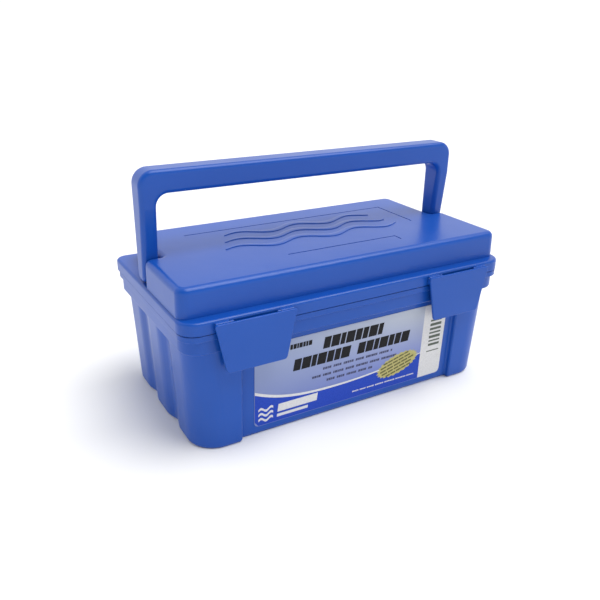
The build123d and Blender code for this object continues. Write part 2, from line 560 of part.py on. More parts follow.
def nodes():
    """Every sub-part by name."""
    parts = {
        "tub": tub(),
        "lid": lid(),
        "handle": handle(),
        "front_label": front_label(),
        "insert_tray": insert_tray(),
    }
    for side, name in ((-1, "left"), (1, "right")):
        parts["handle_pin_" + name] = handle_pin(side)
        parts["latch_" + name] = latch(side)
        parts["latch_pins_" + name] = latch_pins(side)
        parts["hinge_pin_" + name] = hinge_pin(side)
    for i in range(LARGE_COUNT):
        bottle, top = reagent_bottle(i)
        parts["reagent_bottle_%d" % (i + 1)] = bottle
        x = LARGE_X0 + LARGE_PITCH * i
        parts["reagent_cap_%d" % (i + 1)] = screw_cap(x, LARGE_Y, top, LARGE_CAP_R - 1.6, LARGE_CAP_R,
                                                       LARGE_CAP)
    for i in range(SMALL_COUNT):
        bottle, top = drop_bottle(i)
        parts["drop_bottle_%d" % (i + 1)] = bottle
        x = SMALL_X0 + SMALL_PITCH * i
        parts["drop_cap_%d" % (i + 1)] = screw_cap(x, SMALL_Y, top, SMALL_CAP_R - 1.5, SMALL_CAP_R, SMALL_CAP)
    parts["powder_jar"] = powder_jar()
    parts["powder_jar_cap"] = screw_cap(JAR[0], JAR[1], STAND_Z + JAR[3], JAR[2] - 3.4, JAR[2] - 1, 14.0)
    parts["mixing_bottle"] = mixing_bottle()
    parts["mixing_bottle_cap"] = screw_cap(MIXING[0], MIXING[1], STAND_Z + MIXING[3], MIXING[2] - 2.9,
                                           MIXING[2] - 1, 12.0)
    parts["sample_tube"] = open_tube(*SAMPLE, 1.5)
    parts["sample_tube_cap"] = sample_tube_cap()
    parts["turbidity_tube"] = open_tube(*TURBIDITY, 1.5)
    parts["comparator_body"] = comparator_body()
    parts["comparator_cap"] = comparator_cap()
    parts["colour_strip_left"] = colour_strip(COMPARATOR[0] + STRIP_INSET)
    parts["colour_strip_right"] = colour_strip(COMPARATOR[1] - STRIP_INSET)
    parts["stirring_rod"] = stirring_rod()
    parts["powder_dipper"] = powder_dipper()
    parts["tube_brush"] = tube_brush()
    parts["instruction_booklet"] = instruction_booklet()
    parts["instruction_card"] = instruction_card()
    parts["chart_disc_back"] = chart_disc(CHART_BACK_Y, CHART_THICK, CHART_R)
    parts["chart_disc_front"] = chart_disc_front()
    parts["chart_rivet"] = chart_rivet()
    return parts


os.makedirs("parts", exist_ok=True)
for name, shape in nodes().items():
    export_step(shape, "parts/%s.step" % name)
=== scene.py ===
from math import atan2, cos, pi, radians, sin, sqrt

import bmesh
import bpy
from mathutils import Matrix, Vector


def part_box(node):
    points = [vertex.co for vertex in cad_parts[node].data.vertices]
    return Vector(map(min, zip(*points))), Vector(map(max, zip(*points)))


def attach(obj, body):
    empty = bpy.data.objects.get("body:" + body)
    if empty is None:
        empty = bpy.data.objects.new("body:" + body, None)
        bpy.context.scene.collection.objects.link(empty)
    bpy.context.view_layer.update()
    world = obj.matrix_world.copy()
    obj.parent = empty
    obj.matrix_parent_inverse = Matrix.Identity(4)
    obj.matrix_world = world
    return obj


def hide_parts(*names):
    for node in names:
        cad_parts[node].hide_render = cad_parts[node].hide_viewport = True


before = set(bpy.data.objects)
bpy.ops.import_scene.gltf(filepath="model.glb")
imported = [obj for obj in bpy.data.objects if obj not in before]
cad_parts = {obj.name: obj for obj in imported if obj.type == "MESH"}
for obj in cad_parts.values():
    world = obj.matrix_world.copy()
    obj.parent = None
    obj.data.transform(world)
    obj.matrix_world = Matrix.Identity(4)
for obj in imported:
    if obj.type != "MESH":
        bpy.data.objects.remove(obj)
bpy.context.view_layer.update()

# ---- sizes read from the frame, metres ----
MM = 0.001
LABEL_LOW, LABEL_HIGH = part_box("front_label")
LABEL_SHEET = 0.3 * MM
LABEL_SLOPE = (LABEL_HIGH[1] - LABEL_LOW[1] - LABEL_SHEET) / (LABEL_HIGH[2] - LABEL_LOW[2])
LID_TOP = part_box("lid")[1][2]


# ---- material helpers ----
def new_material(name, colour, roughness, **sockets):
    """A Principled material; constants go on the shader's own sockets."""
    mat = bpy.data.materials.new(name)
    mat.use_nodes = True
    nodes, links = mat.node_tree.nodes, mat.node_tree.links
    shader = nodes["Principled BSDF"]
    shader.inputs["Base Color"].default_value = (*colour, 1.0)
    shader.inputs["Roughness"].default_value = roughness
    for socket, value in sockets.items():
        shader.inputs[socket.replace("_", " ")].default_value = value
    return mat, nodes, links, shader


def place_of(nodes, links):
    """X, Y and Z of the point, in metres in the object's own frame."""
    coords = nodes.new("ShaderNodeTexCoord")
    split = nodes.new("ShaderNodeSeparateXYZ")
    links.new(coords.outputs["Object"], split.inputs[0])
    return split.outputs[0], split.outputs[1], split.outputs[2]


def noise(nodes, links, scale, detail=2.0, rough=0.5, stretch=(1, 1, 1)):
    """Noise on the object's own coordinates, in the given number of cells a metre."""
    coords = nodes.new("ShaderNodeTexCoord")
    mapping = nodes.new("ShaderNodeMapping")
    mapping.inputs["Scale"].default_value = stretch
    tex = nodes.new("ShaderNodeTexNoise")
    tex.inputs["Scale"].default_value = scale
    tex.inputs["Detail"].default_value = detail
    tex.inputs["Roughness"].default_value = rough
    links.new(coords.outputs["Object"], mapping.inputs["Vector"])
    links.new(mapping.outputs["Vector"], tex.inputs["Vector"])
    return tex.outputs["Fac"]


def ramp(nodes, links, value, low, high, from_value=0.0, to_value=1.0):
    """Value rescaled from one range to another, clamped."""
    node = nodes.new("ShaderNodeMapRange")
    node.inputs["From Min"].default_value = low
    node.inputs["From Max"].default_value = high
    node.inputs["To Min"].default_value = from_value
    node.inputs["To Max"].default_value = to_value
    links.new(value, node.inputs["Value"])
    return node.outputs["Result"]


def calc(nodes, links, operation, *values):
    """One math node; each value is a number or a socket."""
    node = nodes.new("ShaderNodeMath")
    node.operation = operation
    for socket, value in zip(node.inputs, values):
        if hasattr(value, "links"):
            links.new(value, socket)
        else:
            socket.default_value = value
    return node.outputs[0]


def stripe(nodes, links, value, pitch, share, offset=0.0):
    """One over the first share of every pitch along a value, and zero between."""
    cycles = calc(nodes, links, "DIVIDE", calc(nodes, links, "ADD", value, offset), pitch)
    return calc(nodes, links, "LESS_THAN", calc(nodes, links, "FRACT", cycles), share)


def between(nodes, links, value, low, high):
    """One where the value lies between two limits."""
    above = calc(nodes, links, "GREATER_THAN", value, low)
    return calc(nodes, links, "MULTIPLY", above, calc(nodes, links, "LESS_THAN", value, high))


def mix_colour(nodes, links, factor, first, second):
    """Blend of two colours; each is a tuple or a socket."""
    node = nodes.new("ShaderNodeMix")
    node.data_type = "RGBA"
    if hasattr(factor, "links"):
        links.new(factor, node.inputs["Factor"])
    else:
        node.inputs["Factor"].default_value = factor
    for socket, colour in ((node.inputs[6], first), (node.inputs[7], second)):
        if hasattr(colour, "links"):
            links.new(colour, socket)
        else:
            socket.default_value = (*colour, 1.0)
    return node.outputs[2]


def bump(nodes, links, shader, layers):
    """Chain of bumps; each layer is (height socket, strength, distance in metres)."""
    normal = None
    for height, strength, distance in layers:
        node = nodes.new("ShaderNodeBump")
        node.inputs["Strength"].default_value = strength
        node.inputs["Distance"].default_value = distance
        links.new(height, node.inputs["Height"])
        if normal is not None:
            links.new(normal, node.inputs["Normal"])
        normal = node.outputs["Normal"]
    links.new(normal, shader.inputs["Normal"])


def moulded_plastic(name, colour, roughness, tint=0.05, grain=0.10, ior=1.42):
    """Moulded thermoplastic: slight flow tint, fine grain, handling marks in the gloss."""
    mat, nodes, links, shader = new_material(name, colour, roughness, IOR=ior)
    flow = noise(nodes, links, 7.0, 2.0, 0.5, (1.0, 1.4, 2.2))
    darker = tuple(c * (1.0 - tint) for c in colour)
    lighter = tuple(min(1.0, c * (1.0 + tint) + 0.002) for c in colour)
    shade = mix_colour(nodes, links, ramp(nodes, links, flow, 0.3, 0.7), darker, lighter)
    links.new(shade, shader.inputs["Base Color"])
    smudge = noise(nodes, links, 22.0, 3.0, 0.5)
    gloss = ramp(nodes, links, smudge, 0.35, 0.75, roughness - 0.02, roughness + 0.03)
    links.new(gloss, shader.inputs["Roughness"])
    fine = noise(nodes, links, 2200.0, 2.0, 0.5)
    peel = noise(nodes, links, 90.0, 1.0, 0.4)
    bump(nodes, links, shader, [(peel, grain * 0.6, 0.0005), (fine, grain, 0.0001)])
    return mat


def ink(name, colour, roughness=0.42):
    """Printing ink: slightly uneven coverage over a fine film texture."""
    mat, nodes, links, shader = new_material(name, colour, roughness, IOR=1.3)
    spread = ramp(nodes, links, noise(nodes, links, 700.0, 2.0), 0.3, 0.7)
    thin = tuple(min(1.0, c * 1.12 + 0.006) for c in colour)
    links.new(mix_colour(nodes, links, spread, colour, thin), shader.inputs["Base Color"])
    bump(nodes, links, shader, [(noise(nodes, links, 320.0, 1.0), 0.06, 0.0002)])
    return mat


def brushed_metal(name, colour, roughness):
    """Drawn wire or turned metal with fine lines round it."""
    mat, nodes, links, shader = new_material(name, colour, roughness, Metallic=1.0)
    lines = noise(nodes, links, 900.0, 3.0, 0.6, (12.0, 1.0, 1.0))
    gloss = ramp(nodes, links, lines, 0.3, 0.7, roughness - 0.08, roughness + 0.1)
    links.new(gloss, shader.inputs["Roughness"])
    bump(nodes, links, shader, [(lines, 0.25, 0.0001)])
    return mat


def give(mat, *names):
    """Puts one material on CAD nodes."""
    for name in names:
        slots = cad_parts[name].data.materials
        slots.clear()
        slots.append(mat)


# ---- case ----
CASE_BLUE = (0.006, 0.078, 0.42)
case_plastic = moulded_plastic("case_polypropylene", CASE_BLUE, 0.30, ior=1.40)
give(case_plastic, "tub", "lid", "handle", "latch_left", "latch_right", "handle_pin_left", "handle_pin_right")
steel = brushed_metal("pin_steel", (0.55, 0.56, 0.58), 0.30)
give(steel, "latch_pins_left", "latch_pins_right", "hinge_pin_left", "hinge_pin_right")
give(brushed_metal("rivet_brass", (0.72, 0.52, 0.22), 0.28), "chart_rivet")


# ---- modelling helpers ----
def clear_selection():
    if bpy.context.mode != "OBJECT":
        bpy.ops.object.mode_set(mode="OBJECT")
    bpy.ops.object.select_all(action="DESELECT")


def edit(select="SELECT"):
    bpy.ops.object.mode_set(mode="EDIT")
    bpy.ops.mesh.select_all(action=select)


def object_mode():
    bpy.ops.object.mode_set(mode="OBJECT")


def finish_piece(piece, name, mat, body, smooth=35.0):
    """Names, shades and fastens a finished piece; its place goes into its mesh."""
    clear_selection()
    piece.select_set(True)
    bpy.context.view_layer.objects.active = piece
    bpy.ops.object.transform_apply(location=True, rotation=True, scale=True)
    bpy.ops.object.shade_smooth_by_angle(angle=radians(smooth))
    piece.name = name
    piece.data.materials.clear()
    piece.data.materials.append(mat)
    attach(piece, body)
    return piece


def join(pieces):
    """One object from several, each already placed."""
    clear_selection()
    for piece in pieces:
        piece.select_set(True)
    bpy.context.view_layer.objects.active = pieces[0]
    if len(pieces) > 1:
        bpy.ops.object.join()
    return bpy.context.object


def ribbon(low, high, start, end, cuts, place, depth):
    """Strip between two edge lines, low(u) and high(u), laid by place(u, v, lift) and given depth."""
    clear_selection()
    bpy.ops.mesh.primitive_plane_add(size=1)
    piece = bpy.context.object
    edit("DESELECT")
    mesh = bmesh.from_edit_mesh(piece.data)
    for edge in mesh.edges:
        a, b = (v.co for v in edge.verts)
        edge.select = abs(a.y - b.y) < 0.5
    bmesh.update_edit_mesh(piece.data)
    if cuts:
        bpy.ops.mesh.subdivide(number_cuts=cuts)
    bpy.ops.mesh.select_all(action="SELECT")
    bpy.ops.mesh.extrude_region_move(TRANSFORM_OT_translate={"value": (0, 0, 1)})
    mesh = bmesh.from_edit_mesh(piece.data)
    for v in mesh.verts:
        u = start + (v.co.x + 0.5) * (end - start)
        edge_line = low if v.co.y < 0 else high
        v.co = place(u, edge_line(u), v.co.z * depth)
    bmesh.update_edit_mesh(piece.data)
    bpy.ops.mesh.select_all(action="SELECT")
    bpy.ops.mesh.normals_make_consistent(inside=False)
    object_mode()
    return piece


def level(value):
    return lambda u: value


def round_bevel(piece, width, segments=2, angle=30.0):
    """Rounds the sharp edges of a piece with an applied bevel."""
    clear_selection()
    bpy.context.view_layer.objects.active = piece
    piece.select_set(True)
    bevel = piece.modifiers.new("bevel", "BEVEL")
    bevel.width = width
    bevel.segments = segments
    bevel.limit_method = "ANGLE"
    bevel.angle_limit = radians(angle)
    bpy.ops.object.modifier_apply(modifier=bevel.name)
    return piece


# ---- front label: printed film ----
PRINT_DEPTH = 0.03 * MM


def on_label(layer):
    """Place on the label's face: u along it and v up, in millimetres; layers lie on each other."""
    def place(u, v, lift):
        z = v * MM
        y = LABEL_LOW[1] + (LABEL_HIGH[2] - z) * LABEL_SLOPE
        return Vector((u * MM, y - layer * PRINT_DEPTH - lift, z))
    return place


LABEL_LEFT, LABEL_RIGHT = LABEL_LOW[0] / MM, LABEL_HIGH[0] / MM
LABEL_FOOT, LABEL_HEAD = LABEL_LOW[2] / MM, LABEL_HIGH[2] / MM
STRIP_X = 71.0                     # where the white strip starts
SWOOSH_LOW_X, SWOOSH_LOW = -12.0, 24.6     # lowest point of the dividing line
SWOOSH_LEFT_RISE, SWOOSH_LEFT_REACH = 13.4, 80.5
SWOOSH_RIGHT_RISE, SWOOSH_RIGHT_REACH = 8.2, 83.0
LINE_HALF_RIGHT, LINE_HALF_GAIN = 0.32, 1.0
MARGIN = 0.3                       # unprinted edge of the film
FILM_CUTS, STRIP_CUTS = 48, 24


def swoosh(u):
    """Middle of the white line that divides the label: steep at the left, slow rise to the right."""
    if u < SWOOSH_LOW_X:
        return SWOOSH_LOW + SWOOSH_LEFT_RISE * ((SWOOSH_LOW_X - u) / SWOOSH_LEFT_REACH) ** 3
    return SWOOSH_LOW + SWOOSH_RIGHT_RISE * ((u - SWOOSH_LOW_X) / SWOOSH_RIGHT_REACH) ** 1.7


def swoosh_half(u):
    """Half width of that line, wider at the left."""
    return LINE_HALF_RIGHT + LINE_HALF_GAIN * (LABEL_RIGHT - u) / (LABEL_RIGHT - LABEL_LEFT)


def corner_drop(u, edge_x, radius=4.0):
    """How far the label's rounded corner cuts in at u."""
    gap = radius - abs(u - edge_x)
    return radius - sqrt(max(0.0, radius ** 2 - gap ** 2)) if gap > 0 else 0.0


def label_background():
    """Film printed with a soft gradient, pale at the upper right and violet towards the line."""
    mat, nodes, links, shader = new_material("label_film", (0.5, 0.53, 0.7), 0.30, IOR=1.4)
    x, _, z = place_of(nodes, links)
    across = ramp(nodes, links, x, -0.092, 0.06)
    upward = ramp(nodes, links, z, 0.026, 0.072)
    upper = mix_colour(nodes, links, across, (0.285, 0.345, 0.54), (0.455, 0.50, 0.59))
    lower = mix_colour(nodes, links, across, (0.19, 0.245, 0.50), (0.155, 0.21, 0.58))
    links.new(mix_colour(nodes, links, upward, lower, upper), shader.inputs["Base Color"])
    bump(nodes, links, shader, [(noise(nodes, links, 260.0, 1.0), 0.05, 0.0002)])
    return mat


give(label_background(), "front_label")
white_ink = ink("ink_white", (0.66, 0.66, 0.67))
violet_ink = ink("ink_violet", (0.009, 0.052, 0.44))
black_ink = ink("ink_black", (0.003, 0.003, 0.005), 0.6)
slate_ink = ink("ink_slate", (0.05, 0.055, 0.12))
gold_ink = ink("ink_gold", (0.46, 0.42, 0.16))
olive_ink = ink("ink_olive", (0.13, 0.125, 0.04))
green_ink = ink("ink_green_grey", (0.09, 0.11, 0.09))


def label_film(name, mat, low, high, start, end, cuts, layer):
    piece = ribbon(low, high, start, end, cuts, on_label(layer), PRINT_DEPTH)
    return finish_piece(piece, name, mat, "tub")


label_film("label_field", violet_ink,
           lambda u: LABEL_FOOT + MARGIN + corner_drop(u, LABEL_LEFT + MARGIN), swoosh,
           LABEL_LEFT + MARGIN, STRIP_X, FILM_CUTS, 0)
label_film("label_line", white_ink,
           lambda u: swoosh(u) - swoosh_half(u), lambda u: swoosh(u) + swoosh_half(u),
           LABEL_LEFT + MARGIN, STRIP_X, FILM_CUTS, 1)
label_film("label_strip", white_ink,
           lambda u: LABEL_FOOT + MARGIN + corner_drop(u, LABEL_RIGHT - MARGIN),
           lambda u: LABEL_HEAD - MARGIN - corner_drop(u, LABEL_RIGHT - MARGIN),
           STRIP_X, LABEL_RIGHT - MARGIN, STRIP_CUTS, 0)


def slanted(place, slant, foot):
    """Leans a print to the right as it rises above its foot line."""
    return lambda u, v, lift: place(u + (v - foot) * slant, v, lift)


def block_row(name, mat, start, end, foot, height, pitch, gap, slant, layer, spaces=()):
    """Row of plain slanted blocks of one height and uneven widths, which stands for a line of print."""
    count = round((end - start) / pitch)
    shares = [0.9 if k in spaces else 1.0 + 0.28 * sin(k * 2.4) for k in range(count)]
    unit = (end - start) / sum(shares)
    place = slanted(on_label(layer), slant, foot)
    pieces, u = [], start
    for k, share in enumerate(shares):
        if k not in spaces:
            end_u = u + share * unit - gap
            pieces.append(ribbon(level(foot), level(foot + height), u, end_u, 0, place, PRINT_DEPTH))
        u += share * unit
    finish_piece(join(pieces), name, mat, "tub")


TITLE = (10.2, 7.6, 1.0, 0.16, 1)  # height, pitch, gap, slant, layer
CODE = (4.2, 2.9, 0.5, 0.06, 1)
NOTE = (2.1, 2.0, 0.4, 0.1, 1)
FINE_PRINT = (1.2, 1.1, 0.3, 0.0, 1)
block_row("label_title_upper", black_ink, -32.0, 27.0, 62.4, *TITLE)
block_row("label_title_lower", black_ink, -59.0, 56.0, 49.0, *TITLE, spaces=(7,))
block_row("label_code", black_ink, -62.0, -42.0, 69.0, *CODE)
NOTE_ROWS = ((-31.0, 39.0, 43.0), (-41.0, 44.0, 37.0), (-27.0, 19.0, 31.4))  # left, right, foot
for row, (left, right, foot) in enumerate(NOTE_ROWS):
    block_row("label_note_%d" % (row + 1), slate_ink, left, right, foot, *NOTE,
              spaces=(4, 9, 15, 20, 27, 33))
block_row("label_fine_print", white_ink, 0.0, 66.0, 12.6, *FINE_PRINT, spaces=(6, 13, 21, 30, 41, 52))


def stacked_code():
    """Stack of plain horizontal bars of uneven thickness on the white strip."""
    pieces, v, space, place = [], 37.4, 1.9, on_label(1)
    for thick in (2.3, 1.5, 2.6, 1.6, 2.2, 2.6, 1.7):
        pieces.append(ribbon(level(v), level(v + thick), 79.0, 91.5, 0, place, PRINT_DEPTH))
        v += thick + space
    pieces.append(ribbon(level(31.6), level(32.6), 78.0, 92.0, 0, place, PRINT_DEPTH))
    finish_piece(join(pieces), "label_stacked_code", green_ink, "tub")


stacked_code()

SEAL_MIDDLE, SEAL_HALF_LONG, SEAL_HALF_SHORT, SEAL_TILT = (46.0, 28.2), 21.5, 9.6, radians(15.0)
SEAL_LOBES, SEAL_LOBE_DEPTH = 24, 0.05
SEAL_LINES, SEAL_LINE_PITCH, SEAL_LINE_HALF, SEAL_LINE_FOOT = 5, 3.2, 0.8, -6.4


def seal_place(layer):
    """Place in the seal's own tilted frame."""
    flat = on_label(layer)
    c, s = cos(SEAL_TILT), sin(SEAL_TILT)
    return lambda u, v, lift: flat(SEAL_MIDDLE[0] + u * c - v * s, SEAL_MIDDLE[1] + u * s + v * c, lift)


def seal():
    """Gold oval with a scalloped rim and olive lines across it."""
    clear_selection()
    bpy.ops.mesh.primitive_circle_add(vertices=120, radius=1, fill_type="NGON")
    disc = bpy.context.object
    edit("SELECT")
    bpy.ops.mesh.inset(thickness=0.08)
    bpy.ops.mesh.select_all(action="SELECT")
    bpy.ops.mesh.extrude_region_move(TRANSFORM_OT_translate={"value": (0, 0, 1)})
    mesh = bmesh.from_edit_mesh(disc.data)
    place = seal_place(2)
    for v in mesh.verts:
        angle = atan2(v.co.y, v.co.x)
        radius = sqrt(v.co.x ** 2 + v.co.y ** 2)
        rim = 1.0 + (SEAL_LOBE_DEPTH * cos(SEAL_LOBES * angle) if radius > 0.97 else 0.0)
        v.co = place(v.co.x * rim * SEAL_HALF_LONG, v.co.y * rim * SEAL_HALF_SHORT, v.co.z * PRINT_DEPTH)
    bmesh.update_edit_mesh(disc.data)
    bpy.ops.mesh.select_all(action="SELECT")
    bpy.ops.mesh.normals_make_consistent(inside=False)
    object_mode()
    finish_piece(disc, "label_seal", gold_ink, "tub")
    lines = []
    for k in range(SEAL_LINES):
        v = SEAL_LINE_FOOT + SEAL_LINE_PITCH * k
        half = SEAL_HALF_LONG * 0.86 * sqrt(max(0.0, 1 - (v / SEAL_HALF_SHORT) ** 2))
        u = -half
        for part in range(5):
            end = u + half * (0.34 + 0.05 * sin(k * 3 + part))
            lines.append(ribbon(level(v - SEAL_LINE_HALF), level(v + SEAL_LINE_HALF), u, end, 0, seal_place(3),
                                PRINT_DEPTH))
            u = end + half * 0.05
    finish_piece(join(lines), "label_seal_lines", olive_ink, "tub")


seal()


def label_mark():
    """Plain mark at the lower left: three white wavelets beside two bars."""
    pieces = []
    left, right, swing, wave_length, half = -89.0, -76.0, 1.3, 9.0, 1.05
    for k in range(3):
        def wave(u, foot=12.0 + 4.6 * k):
            return foot + swing * sin((u - left) * 2 * pi / wave_length)
        pieces.append(ribbon(lambda u, w=wave: w(u) - half, lambda u, w=wave: w(u) + half, left, right, 26,
                             on_label(1), PRINT_DEPTH))
    place = slanted(on_label(1), 0.12, 12.0)
    for foot, high, bar_left, bar_right in ((15.6, 22.6, -72.5, -36.0), (11.0, 13.6, -72.5, -44.0)):
        pieces.append(ribbon(level(foot), level(high), bar_left, bar_right, 0, place, PRINT_DEPTH))
    finish_piece(join(pieces), "label_mark", white_ink, "tub")


label_mark()

# ---- raised wave motif on the lid ----
RIB_HIGH = 0.55 * MM
RIB_SUNK = 0.05 * MM
WAVE_SWING, WAVE_LENGTH, WAVE_HALF, WAVE_END_HALF = 5.2, 56.0, 3.2, 0.35


def on_lid(u, v, lift):
    return Vector((u * MM, v * MM, LID_TOP - RIB_SUNK + lift))


def lid_wave(index):
    """One raised wave rib that tapers to both ends."""
    foot = -8.0 + 17.0 * index
    start, end = -84.0 + 7.0 * index, 86.0 - 5.0 * index

    def middle(u):
        return foot + WAVE_SWING * sin((u - start) * 2 * pi / WAVE_LENGTH)

    def half(u):
        t = (u - start) / (end - start)
        return WAVE_END_HALF + WAVE_HALF * sin(pi * t) ** 0.6

    piece = ribbon(lambda u: middle(u) - half(u), lambda u: middle(u) + half(u), start, end, 84, on_lid,
                   RIB_HIGH)
    round_bevel(piece, 0.22 * MM, 2, 50.0)
    finish_piece(piece, "lid_wave_%d" % (index + 1), case_plastic, "lid")


for index in range(3):
    lid_wave(index)

# ---- bottles, caps and tray ----
give(moulded_plastic("tray_polystyrene", (0.70, 0.71, 0.70), 0.40, tint=0.03), "insert_tray")


def round_of(node):
    """Middle, radius and height span of a round upright node."""
    low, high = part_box(node)
    return (low[0] + high[0]) / 2, (low[1] + high[1]) / 2, (high[0] - low[0]) / 2, low[2], high[2]


def blown_plastic(name, colour, liquid_top):
    """Thin blown polyethylene: darker below the liquid, with the soft waves of blow moulding."""
    mat, nodes, links, shader = new_material(name, colour, 0.36, IOR=1.45)
    _, _, z = place_of(nodes, links)
    dry = ramp(nodes, links, z, liquid_top - 0.4 * MM, liquid_top + 0.4 * MM)
    wet_colour = (colour[0] * 0.80, colour[1] * 0.79, colour[2] * 0.74)
    links.new(mix_colour(nodes, links, dry, wet_colour, colour), shader.inputs["Base Color"])
    waves = noise(nodes, links, 55.0, 2.0, 0.5, (1.6, 1.6, 0.5))
    gloss = ramp(nodes, links, waves, 0.3, 0.7, 0.30, 0.42)
    links.new(gloss, shader.inputs["Roughness"])
    bump(nodes, links, shader, [(waves, 0.25, 0.0008), (noise(nodes, links, 1500.0), 0.08, 0.0001)])
    return mat


BOTTLES = range(1, 7)
large_bottles = ["reagent_bottle_%d" % k for k in BOTTLES]
small_bottles = ["drop_bottle_%d" % k for k in BOTTLES]
give(blown_plastic("reagent_bottle_polyethylene", (0.74, 0.74, 0.70), 74 * MM), *large_bottles)
give(blown_plastic("drop_bottle_polyethylene", (0.76, 0.76, 0.73), 56 * MM), *small_bottles)
give(blown_plastic("powder_jar_polyethylene", (0.72, 0.72, 0.69), 50 * MM), "powder_jar")
give(moulded_plastic("cap_red_plastic", (0.50, 0.030, 0.022), 0.34), *["reagent_cap_%d" % k for k in BOTTLES])
give(moulded_plastic("cap_blue_plastic", (0.020, 0.085, 0.30), 0.34), *["drop_cap_%d" % k for k in BOTTLES])
give(moulded_plastic("cap_white_plastic", (0.72, 0.72, 0.72), 0.36), "powder_jar_cap", "mixing_bottle_cap")
give(moulded_plastic("stopper_blue_plastic", (0.025, 0.11, 0.36), 0.32), "sample_tube_cap", "comparator_cap",
     "powder_dipper")

SLEEVE_GAP, SLEEVE_THICK = 0.05 * MM, 0.15 * MM


def sleeve_print(name, band, low, high):
    """White film with a coloured head band, a thin foot line and broken lines of print between."""
    mat, nodes, links, shader = new_material(name, (0.72, 0.72, 0.71), 0.32, IOR=1.42)
    _, _, z = place_of(nodes, links)
    head = between(nodes, links, z, high - 6.5 * MM, high - 1.2 * MM)
    foot = between(nodes, links, z, low + 1.2 * MM, low + 2.4 * MM)
    lines = stripe(nodes, links, z, 2.3 * MM, 0.36)
    words = calc(nodes, links, "GREATER_THAN", noise(nodes, links, 380.0, 1.0, 0.5, (1.0, 1.0, 0.02)), 0.47)
    body = between(nodes, links, z, low + 4 * MM, high - 8.2 * MM)
    text = calc(nodes, links, "MULTIPLY", calc(nodes, links, "MULTIPLY", lines, words), body)
    printed = mix_colour(nodes, links, text, (0.72, 0.72, 0.71), (0.05, 0.055, 0.09))
    bands = calc(nodes, links, "MAXIMUM", head, foot)
    links.new(mix_colour(nodes, links, bands, printed, band), shader.inputs["Base Color"])
    bump(nodes, links, shader, [(noise(nodes, links, 260.0, 1.0), 0.06, 0.0002)])
    return mat


def sleeve(name, node, low, high, band):
    """Printed film wrapped round a bottle, with its seam at the back."""
    x, y, radius, _, _ = round_of(node)
    clear_selection()
    bpy.ops.mesh.primitive_cylinder_add(vertices=72, radius=radius + SLEEVE_GAP, depth=high - low,
                                        end_fill_type="NOTHING", location=(x, y, (low + high) / 2))
    piece = bpy.context.object
    edit("DESELECT")
    mesh = bmesh.from_edit_mesh(piece.data)
    for face in mesh.faces:
        face.select_set(face.calc_center_median().y > radius * 0.998)
    bmesh.update_edit_mesh(piece.data)
    bpy.ops.mesh.delete(type="FACE")
    object_mode()
    wall = piece.modifiers.new("wall", "SOLIDIFY")
    wall.thickness = SLEEVE_THICK
    wall.offset = 1.0
    bpy.ops.object.modifier_apply(modifier=wall.name)
    return finish_piece(piece, name, sleeve_print(name + "_print", band, low, high), "tub")


REAGENT_BANDS = ((0.55, 0.06, 0.05), (0.75, 0.38, 0.03), (0.04, 0.30, 0.12),
                 (0.03, 0.13, 0.50), (0.26, 0.05, 0.36), (0.04, 0.33, 0.42))
JAR_BAND = (0.03, 0.13, 0.50)
REAGENT_SLEEVE, DROP_SLEEVE, JAR_SLEEVE = (22 * MM, 72 * MM), (18 * MM, 56 * MM), (16 * MM, 51 * MM)
for k, band in zip(BOTTLES, REAGENT_BANDS):
    sleeve("reagent_sleeve_%d" % k, "reagent_bottle_%d" % k, *REAGENT_SLEEVE, band)
    sleeve("drop_sleeve_%d" % k, "drop_bottle_%d" % k, *DROP_SLEEVE, REAGENT_BANDS[-k])
sleeve("powder_jar_sleeve", "powder_jar", *JAR_SLEEVE, JAR_BAND)


def well_rims():
    """Raised lip round every well of the tray's deck: each lip extruded from a ring and bevelled, then all
    joined.
    """
    deck_top, lip_high, lip_wide, clearance = 42 * MM, 0.9 * MM, 1.1 * MM, 0.5 * MM
    lips = []
    for node in large_bottles + small_bottles + ["powder_jar", "mixing_bottle"]:
        x, y, radius, _, _ = round_of(node)
        inner = radius + clearance
        clear_selection()
        bpy.ops.mesh.primitive_circle_add(vertices=72, radius=inner, fill_type="NOTHING",
                                          location=(x, y, deck_top - 0.3 * MM))
        lip = bpy.context.object
        edit("SELECT")
        grow = (inner + lip_wide) / inner
        bpy.ops.mesh.extrude_region_move()
        bpy.ops.transform.resize(value=(grow, grow, 1))
        bpy.ops.mesh.select_all(action="SELECT")
        bpy.ops.mesh.extrude_region_move(TRANSFORM_OT_translate={"value": (0, 0, lip_high)})
        bpy.ops.mesh.select_all(action="SELECT")
        bpy.ops.mesh.normals_make_consistent(inside=False)
        object_mode()
        lips.append(round_bevel(lip, 0.3 * MM, 2))
    finish_piece(join(lips), "tray_well_rims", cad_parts["insert_tray"].data.materials[0], "tub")


well_rims()


# ---- clear test cells and tubes ----
def clear_plastic(name, colour):
    """Polished clear plastic with faint flow lines."""
    mat, nodes, links, shader = new_material(name, colour, 0.04, Transmission_Weight=1.0, IOR=1.40)
    flow = noise(nodes, links, 40.0, 1.0, 0.5, (1.0, 1.0, 0.4))
    links.new(ramp(nodes, links, flow, 0.3, 0.7, 0.03, 0.08), shader.inputs["Roughness"])
    bump(nodes, links, shader, [(flow, 0.08, 0.0004)])
    return mat


give(clear_plastic("test_tube_clear", (0.93, 0.97, 0.98)), "sample_tube", "turbidity_tube", "mixing_bottle",
     "stirring_rod")


def comparator_plastic():
    """Clear block that shows what lies behind it without bending it."""
    mat, nodes, links, shader = new_material("comparator_clear", (0.80, 0.88, 0.90), 0.06, Alpha=0.36, IOR=1.45)
    flow = noise(nodes, links, 40.0, 1.0, 0.5, (1.0, 1.0, 0.4))
    links.new(ramp(nodes, links, flow, 0.3, 0.7, 0.04, 0.10), shader.inputs["Roughness"])
    bump(nodes, links, shader, [(flow, 0.08, 0.0004)])
    return mat


